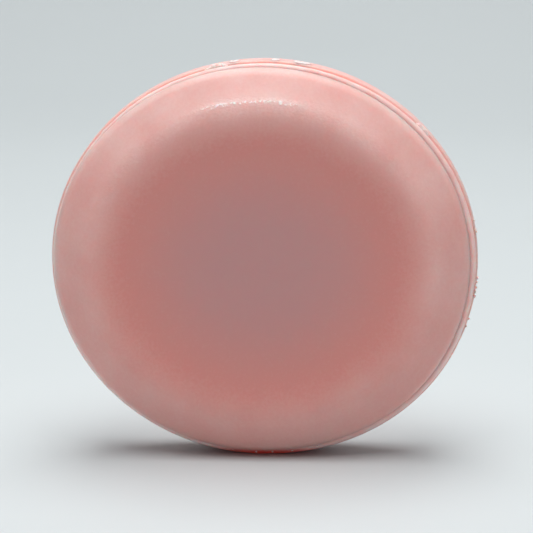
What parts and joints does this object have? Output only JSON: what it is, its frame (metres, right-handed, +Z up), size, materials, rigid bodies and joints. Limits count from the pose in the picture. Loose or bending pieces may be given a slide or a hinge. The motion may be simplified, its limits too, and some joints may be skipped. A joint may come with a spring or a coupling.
{
  "type": "shaving soap puck",
  "caption": "Oval pressed puck of pink shaving soap with a shallow dished face, a bevelled shoulder and a trimmed flash band round its rim, standing on its edge.",
  "frame": {"origin": "middle of the puck's width and thickness, on the surface that it stands on", "axes": "+X across the face, -Y out of the dished face, +Y out of the flat back, +Z up"},
  "size_m": [0.0751, 0.019, 0.0702],
  "materials": {
    "soap": "waxy satin soap with a faint pale bloom",
    "trimmed_flash": "knife-trimmed soap, paler and drier",
    "torn_soap": "freshly torn soap, translucent at its thin edges",
    "thin_flake": "thin glossy soap flakes"
  },
  "bodies": {
    "root": {"soap_body": "soap", "parting_flash": "trimmed_flash", "torn_chip": "torn_soap", "torn_lip": "torn_soap", "rim_crumbs": "torn_soap", "foot_crumbs": "torn_soap", "top_flakes": "thin_flake"}
  },
  "joints": []
}
